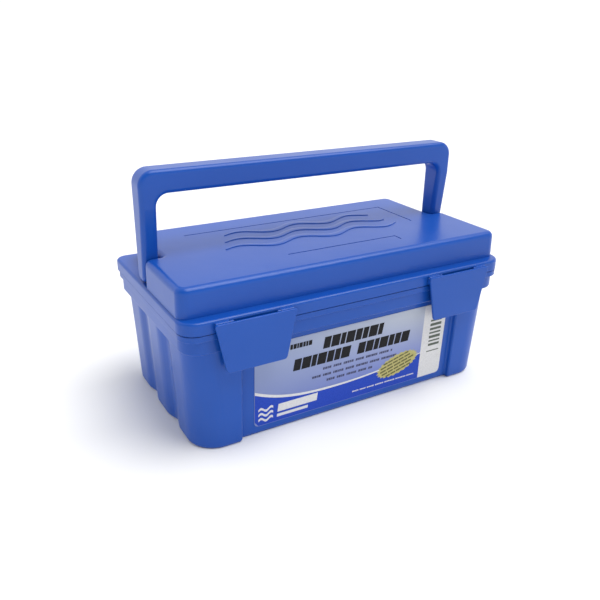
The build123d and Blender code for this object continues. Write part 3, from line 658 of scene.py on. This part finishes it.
give(comparator_plastic(), "comparator_body")
blue_mark = ink("graduation_blue", (0.02, 0.06, 0.30))


def on_tube(x, y, radius):
    """Place on an upright tube: u in degrees round its front, v up in millimetres."""
    def place(u, v, lift):
        turn, reach = radians(u), radius + lift
        return Vector((x + reach * sin(turn), y - reach * cos(turn), v * MM))
    return place


def graduations(name, node, levels):
    """Printed lines round the front of a tube, every second one longer."""
    x, y, radius, _, _ = round_of(node)
    place = on_tube(x, y, radius)
    marks = []
    for k, height in enumerate(levels):
        half = 52.0 if k % 2 == 0 else 26.0
        marks.append(ribbon(level(height - 0.3), level(height + 0.3), -half, half, 18, place, 0.05 * MM))
    finish_piece(join(marks), name, blue_mark, "tub")


graduations("sample_tube_marks", "sample_tube", [40 + 6 * k for k in range(9)])
graduations("turbidity_tube_marks", "turbidity_tube", [38 + 7 * k for k in range(10)])


def cell_lines():
    """Fill lines on the front of the comparator's two cells."""
    low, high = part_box("comparator_body")
    place = lambda u, v, lift: Vector((u * MM, low[1] - lift, v * MM))
    lines = []
    for middle in (low[0] / MM + 34, high[0] / MM - 34):
        for height in (24.0, 40.0, 56.0):
            lines.append(ribbon(level(height), level(height + 0.6), middle - 6, middle + 6, 0, place,
                                0.05 * MM))
    finish_piece(join(lines), "comparator_fill_lines", blue_mark, "tub")


cell_lines()


def steps(nodes, links, value, colours):
    """Colours in equal steps as a value goes from 0 to 1."""
    node = nodes.new("ShaderNodeValToRGB")
    node.color_ramp.interpolation = "CONSTANT"
    elements = node.color_ramp.elements
    while len(elements) < len(colours):
        elements.new(1.0)
    for k, colour in enumerate(colours):
        elements[k].position = k / len(colours)
        elements[k].color = (*colour, 1.0)
    links.new(value, node.inputs[0])
    return node.outputs[0]


def colour_standards(name, node, colours):
    """Five colour windows in a white strip."""
    low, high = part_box(node)
    margin, window_half = 0.9 * MM, 5 * MM
    mat, nodes, links, shader = new_material(name, (0.7, 0.7, 0.7), 0.22, IOR=1.45)
    x, _, z = place_of(nodes, links)
    pitch = (high[2] - low[2] - 2 * margin) / len(colours)
    rise = ramp(nodes, links, z, low[2] + margin, high[2] - margin)
    middle = (low[0] + high[0]) / 2
    window = calc(nodes, links, "MULTIPLY",
                  between(nodes, links, x, middle - window_half, middle + window_half),
                  stripe(nodes, links, z, pitch, 0.76, -(low[2] + margin + 0.12 * pitch)))
    shade = mix_colour(nodes, links, window, (0.72, 0.72, 0.71), steps(nodes, links, rise, colours))
    links.new(shade, shader.inputs["Base Color"])
    bump(nodes, links, shader, [(noise(nodes, links, 300.0, 1.0), 0.05, 0.0002)])
    give(mat, node)


colour_standards("sanitiser_standards", "colour_strip_left",
                 ((0.75, 0.52, 0.55), (0.72, 0.36, 0.42), (0.68, 0.20, 0.30), (0.58, 0.09, 0.20),
                  (0.42, 0.03, 0.12)))
colour_standards("acidity_standards", "colour_strip_right",
                 ((0.72, 0.56, 0.10), (0.72, 0.40, 0.07), (0.70, 0.24, 0.06), (0.62, 0.11, 0.07),
                  (0.48, 0.04, 0.08)))


# ---- tube brush ----
def helix_strand(x, y, low, high, offset, wire, turns, start):
    """One strand of the twisted wire: a small circle screwed up about the brush's axis."""
    clear_selection()
    bpy.ops.mesh.primitive_circle_add(vertices=10, radius=wire, fill_type="NOTHING",
                                      location=(offset, 0, 0), rotation=(pi / 2, 0, 0))
    strand = bpy.context.object
    bpy.ops.object.transform_apply(location=True, rotation=True, scale=True)
    screw = strand.modifiers.new("twist", "SCREW")
    screw.axis = "Z"
    screw.angle = 2 * pi
    screw.iterations = turns
    screw.screw_offset = (high - low) / turns
    screw.steps = 16
    screw.render_steps = 16
    bpy.ops.object.modifier_apply(modifier=screw.name)
    edit("SELECT")
    bpy.ops.mesh.fill_holes(sides=0)
    bpy.ops.mesh.select_all(action="SELECT")
    bpy.ops.mesh.normals_make_consistent(inside=False)
    bpy.ops.transform.rotate(value=start, orient_axis="Z", center_override=(0, 0, 0))
    bpy.ops.transform.translate(value=(x, y, low))
    object_mode()
    return strand


def brush():
    """Twisted wire stem with a finger eye, and nylon bristles caught in the twist."""
    x, y, radius, low, high = round_of("tube_brush")
    radius -= 0.1 * MM
    foot, head, eye_ring = low + 0.6 * MM, high - 9.4 * MM, 4.0 * MM
    wire = 0.55 * MM
    strands = [helix_strand(x, y, foot, head, wire, wire, 14, turn) for turn in (0, pi)]
    clear_selection()
    bpy.ops.mesh.primitive_circle_add(vertices=12, radius=1.0 * MM, fill_type="NOTHING",
                                      location=(x + eye_ring, y, head + eye_ring - 0.4 * MM))
    eye = bpy.context.object
    bpy.ops.object.transform_apply(location=True, rotation=True, scale=True)
    edit("SELECT")
    bpy.ops.mesh.spin(steps=36, angle=2 * pi, center=(x, y, head + eye_ring - 0.4 * MM), axis=(0, 1, 0))
    bpy.ops.mesh.select_all(action="SELECT")
    bpy.ops.mesh.remove_doubles(threshold=0.00002)
    bpy.ops.mesh.normals_make_consistent(inside=False)
    object_mode()
    wire_steel = brushed_metal("brush_wire_steel", (0.6, 0.6, 0.6), 0.25)
    finish_piece(join(strands + [eye]), "brush_wire", wire_steel, "tub")
    clear_selection()
    bpy.ops.mesh.primitive_cone_add(vertices=4, radius1=0.16 * MM, radius2=0.10 * MM, depth=radius,
                                    end_fill_type="NGON", location=(0, 0, radius / 2))
    first = bpy.context.object
    bpy.ops.object.transform_apply(location=True, rotation=True, scale=True)
    bristles, rows, around = [], 26, 13
    top = low + 44 * MM
    for row in range(rows):
        rise = low + 2 * MM + (top - low - 3 * MM) * row / (rows - 1)
        reach = 1.0 - 0.35 * max(0.0, (row - rows + 5) / 5.0) - 0.3 * max(0.0, (4 - row) / 4.0)
        for k in range(around):
            angle = 2 * pi * k / around + 0.83 * row
            lean = radians(90 + 5 * sin(3.1 * row + 1.7 * k))
            one = first.copy()
            one.data = first.data.copy()
            bpy.context.scene.collection.objects.link(one)
            length = reach * (0.94 + 0.06 * sin(5.3 * k + row))
            one.data.transform(Matrix.Translation((x, y, rise)) @ Matrix.Rotation(angle, 4, "Z")
                               @ Matrix.Rotation(lean, 4, "Y") @ Matrix.Scale(length, 4, (0, 0, 1)))
            bristles.append(one)
    bpy.data.objects.remove(first)
    nylon = moulded_plastic("brush_nylon", (0.66, 0.64, 0.58), 0.45)
    tufts = finish_piece(join(bristles), "brush_bristles", nylon, "tub")
    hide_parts("tube_brush")


brush()


# ---- booklet, card and slide chart ----
def printed_page(name, node, band_share, paper=(0.72, 0.72, 0.69)):
    """Coated paper: a coloured head band, lines of print, and painted shade lines in the gaps between the
    leaves along the edge.
    """
    low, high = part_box(node)
    mat, nodes, links, shader = new_material(name, paper, 0.40, IOR=1.4)
    x, y, z = place_of(nodes, links)
    tall = high[2] - low[2]
    band_low = high[2] - tall * band_share
    band = between(nodes, links, z, band_low, high[2] - 5 * MM)
    lines = stripe(nodes, links, z, 3.4 * MM, 0.34)
    words = calc(nodes, links, "GREATER_THAN", noise(nodes, links, 260.0, 1.0, 0.5, (1.0, 1.0, 0.02)), 0.46)
    inside = calc(nodes, links, "MULTIPLY", between(nodes, links, x, low[0] + 7 * MM, high[0] - 7 * MM),
                  between(nodes, links, z, low[2] + 8 * MM, band_low - 5 * MM))
    text = calc(nodes, links, "MULTIPLY", calc(nodes, links, "MULTIPLY", lines, words), inside)
    page = mix_colour(nodes, links, text, paper, (0.06, 0.065, 0.10))
    page = mix_colour(nodes, links, band, page, (0.025, 0.10, 0.36))
    # painted shade: grey lines on the edge faces stand for the shade in the gaps between the leaves
    leaves = stripe(nodes, links, y, 0.25 * MM, 0.4)
    thick = 0.3 * MM
    cut = between(nodes, links, y, low[1] + thick, high[1] - thick)
    edge = calc(nodes, links, "MULTIPLY", leaves, cut)
    links.new(mix_colour(nodes, links, edge, page, (0.42, 0.42, 0.40)), shader.inputs["Base Color"])
    bump(nodes, links, shader, [(noise(nodes, links, 900.0, 2.0), 0.10, 0.0001), (leaves, 0.15, 0.0001)])
    return mat


give(printed_page("booklet_paper", "instruction_booklet", 0.34), "instruction_booklet")


def ruled_card():
    """Laminated card with a ruled table, a coloured head row and tinted rows."""
    low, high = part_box("instruction_card")
    mat, nodes, links, shader = new_material("card_laminate", (0.70, 0.72, 0.74), 0.22, IOR=1.45)
    x, _, z = place_of(nodes, links)
    rules = calc(nodes, links, "MAXIMUM", stripe(nodes, links, x, 14 * MM, 0.04, -low[0]),
                 stripe(nodes, links, z, 7 * MM, 0.08, -low[2]))
    tinted = stripe(nodes, links, z, 14 * MM, 0.5, -low[2])
    page = mix_colour(nodes, links, tinted, (0.72, 0.73, 0.74), (0.50, 0.60, 0.72))
    page = mix_colour(nodes, links, rules, page, (0.05, 0.10, 0.28))
    head = between(nodes, links, z, high[2] - 12 * MM, high[2] - 1 * MM)
    links.new(mix_colour(nodes, links, head, page, (0.03, 0.11, 0.38)), shader.inputs["Base Color"])
    bump(nodes, links, shader, [(noise(nodes, links, 200.0, 1.0), 0.05, 0.0002)])
    give(mat, "instruction_card")


ruled_card()


def chart_print(name, node, base, tint, tick_inner, tick_outer):
    """Round chart print: tinted sectors, two rings and tick marks round the rim."""
    low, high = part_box(node)
    cx, cz = (low[0] + high[0]) / 2, (low[2] + high[2]) / 2
    mat, nodes, links, shader = new_material(name, base, 0.28, IOR=1.45)
    x, _, z = place_of(nodes, links)
    dx, dz = calc(nodes, links, "SUBTRACT", x, cx), calc(nodes, links, "SUBTRACT", z, cz)
    angle = calc(nodes, links, "ARCTAN2", dz, dx)
    square = calc(nodes, links, "ADD", calc(nodes, links, "MULTIPLY", dx, dx),
                  calc(nodes, links, "MULTIPLY", dz, dz))
    radius = calc(nodes, links, "SQRT", square)
    sector = stripe(nodes, links, angle, radians(30), 0.5)
    page = mix_colour(nodes, links, sector, base, tint)
    ticks = calc(nodes, links, "MULTIPLY", stripe(nodes, links, angle, radians(6), 0.18),
                 between(nodes, links, radius, tick_inner, tick_outer))
    ring = between(nodes, links, radius, tick_inner - 0.9 * MM, tick_inner - 0.3 * MM)
    marks = calc(nodes, links, "MAXIMUM", ticks, ring)
    links.new(mix_colour(nodes, links, marks, page, (0.02, 0.03, 0.10)), shader.inputs["Base Color"])
    bump(nodes, links, shader, [(noise(nodes, links, 220.0, 1.0), 0.05, 0.0002)])
    give(mat, node)


chart_print("chart_back_print", "chart_disc_back", (0.72, 0.73, 0.74), (0.45, 0.58, 0.70),
            35.6 * MM, 38.4 * MM)
chart_print("chart_front_print", "chart_disc_front", (0.09, 0.20, 0.50), (0.14, 0.28, 0.58),
            29.5 * MM, 33.0 * MM)

# ---- stage ----
FLOOR_HALF = 8.0
clear_selection()
bpy.ops.mesh.primitive_plane_add(size=2 * FLOOR_HALF, location=(0, 0, 0))
floor = bpy.context.object
floor.name = "studio_floor"
floor_paint, floor_nodes, floor_links, floor_shader = new_material("floor_paint", (0.93, 0.93, 0.93), 0.8)
floor_tone = ramp(floor_nodes, floor_links, noise(floor_nodes, floor_links, 1.5), 0.3, 0.7)
floor_links.new(mix_colour(floor_nodes, floor_links, floor_tone, (0.925, 0.925, 0.925), (0.935, 0.935, 0.935)),
                floor_shader.inputs["Base Color"])
floor.data.materials.append(floor_paint)


def add_light(name, kind, place, aim, power, **settings):
    data = bpy.data.lights.new(name, kind)
    data.energy = power
    for key, value in settings.items():
        setattr(data, key, value)
    lamp = bpy.data.objects.new(name, data)
    lamp.location = place
    direction = Vector(aim) - Vector(place)
    lamp.rotation_euler = direction.to_track_quat("-Z", "Y").to_euler()
    bpy.context.scene.collection.objects.link(lamp)
    return lamp


add_light("softbox_sun", "SUN", (0.75, -0.45, 2.1), (0, 0, 0), 2.35, angle=radians(44))

SKY_FRONT, SKY_BACK = 0.15, 1.06
world = bpy.data.worlds.new("studio")
bpy.context.scene.world = world
world.use_nodes = True
sky_nodes, sky_links = world.node_tree.nodes, world.node_tree.links
sky_way = sky_nodes.new("ShaderNodeTexCoord")
sky_split = sky_nodes.new("ShaderNodeSeparateXYZ")
sky_links.new(sky_way.outputs["Generated"], sky_split.inputs[0])
sky_behind = ramp(sky_nodes, sky_links, sky_split.outputs[1], -0.4, 0.45, SKY_FRONT, SKY_BACK)
sky_horizon = ramp(sky_nodes, sky_links, sky_split.outputs[2], 0.26, 0.50, SKY_BACK, SKY_FRONT)
sky_power = calc(sky_nodes, sky_links, "MAXIMUM", sky_behind, sky_horizon)
sky_nodes["Background"].inputs["Color"].default_value = (1, 1, 1, 1)
sky_links.new(sky_power, sky_nodes["Background"].inputs["Strength"])
bpy.context.scene.view_settings.view_transform = "Standard"

# ---- camera ----
YAW, PITCH, ROLL = 0.53362, 0.40585, 0.01815
camera_data = bpy.data.cameras.new("camera")
camera_data.sensor_width = 36.0
camera_data.lens = 39.73
camera_data.clip_start = 0.01
camera = bpy.data.objects.new("camera", camera_data)
bpy.context.scene.collection.objects.link(camera)
turn = Matrix.Rotation(-YAW, 4, "Z") @ Matrix.Rotation(pi / 2 - PITCH, 4, "X") @ Matrix.Rotation(ROLL, 4, "Z")
camera.matrix_world = Matrix.Translation((-0.28609, -0.46733, 0.30523)) @ turn
bpy.context.scene.camera = camera
